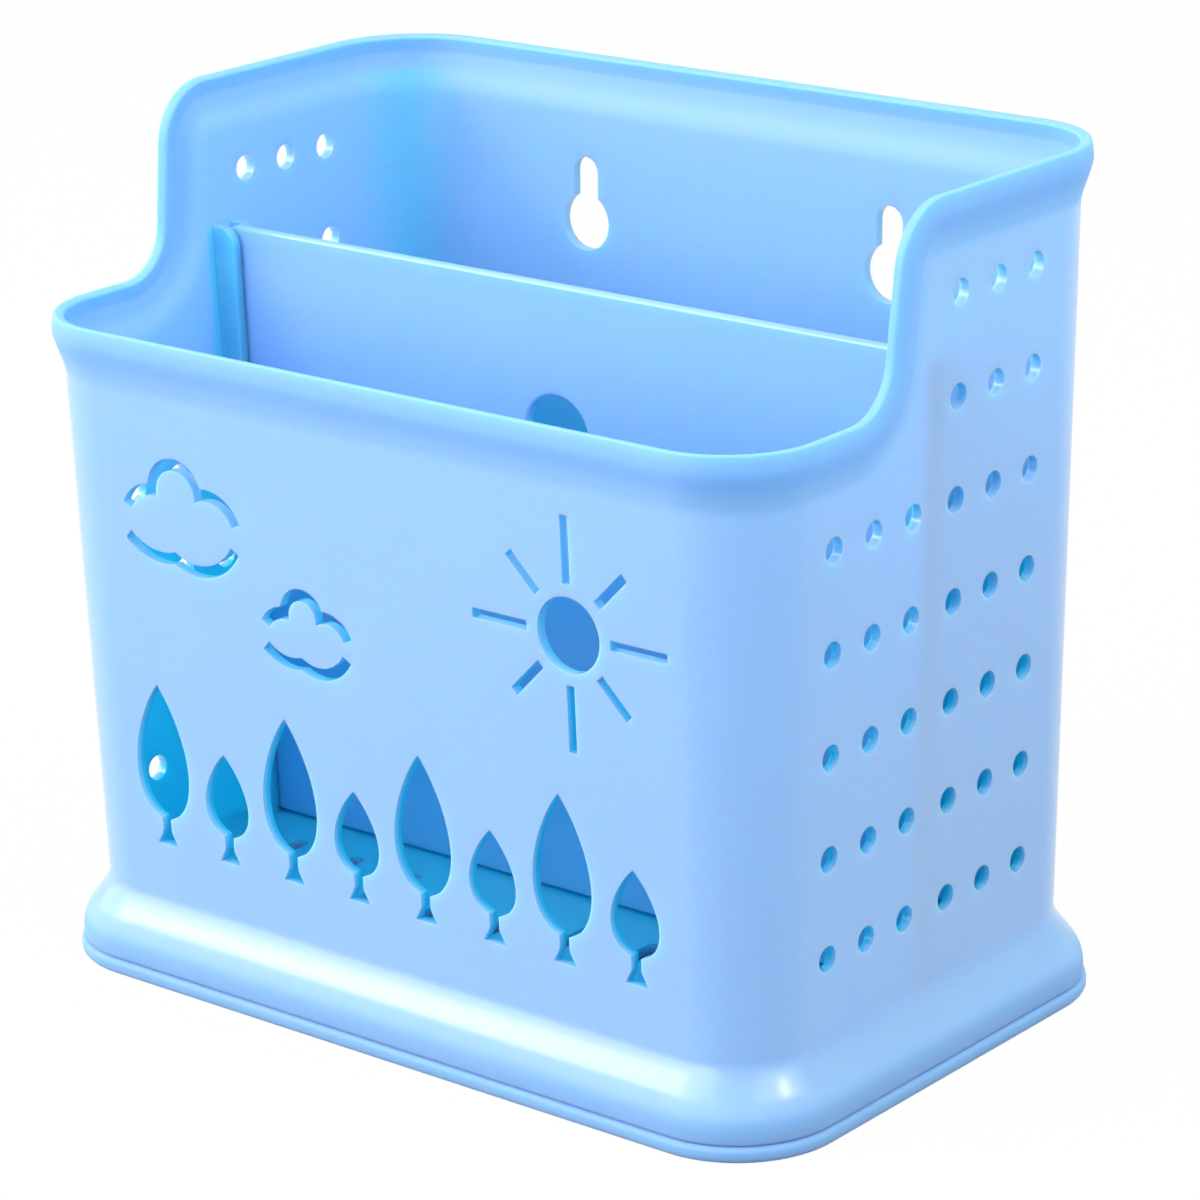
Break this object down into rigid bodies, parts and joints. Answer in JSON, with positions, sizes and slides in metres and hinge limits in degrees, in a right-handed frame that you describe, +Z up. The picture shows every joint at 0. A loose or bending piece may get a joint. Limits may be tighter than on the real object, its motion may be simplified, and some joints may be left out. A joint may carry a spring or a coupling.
{
  "type": "chopstick holder",
  "caption": "Drained plastic holder for chopsticks and cutlery: a tapered box with a stepped rim and a pierced front, a lift-out divider and a drip tray.",
  "frame": {"origin": "centre of the drip tray's underside, on the surface that the holder stands on", "axes": "+X to the right across the front, +Y from the pierced front to the tall back, +Z up"},
  "size_m": [0.1542, 0.1002, 0.1422],
  "materials": {
    "holder_plastic": "glossy light blue polypropylene",
    "divider_plastic": "glossy light blue polypropylene",
    "tray_plastic": "glossy light blue polypropylene"
  },
  "bodies": {
    "holder": {"holder_body": "holder_plastic"},
    "divider_plate": {"divider": "divider_plastic"},
    "tray": {"drip_tray": "tray_plastic"}
  },
  "joints": [
    {"name": "divider_lift", "type": "slide", "parent": "holder", "child": "divider_plate", "axis": [0, 0, 1], "range_m": [0, 0.13]},
    {"name": "tray_pull", "type": "slide", "parent": "holder", "child": "tray", "axis": [0, 0, -1], "range_m": [0, 0.03]}
  ]
}
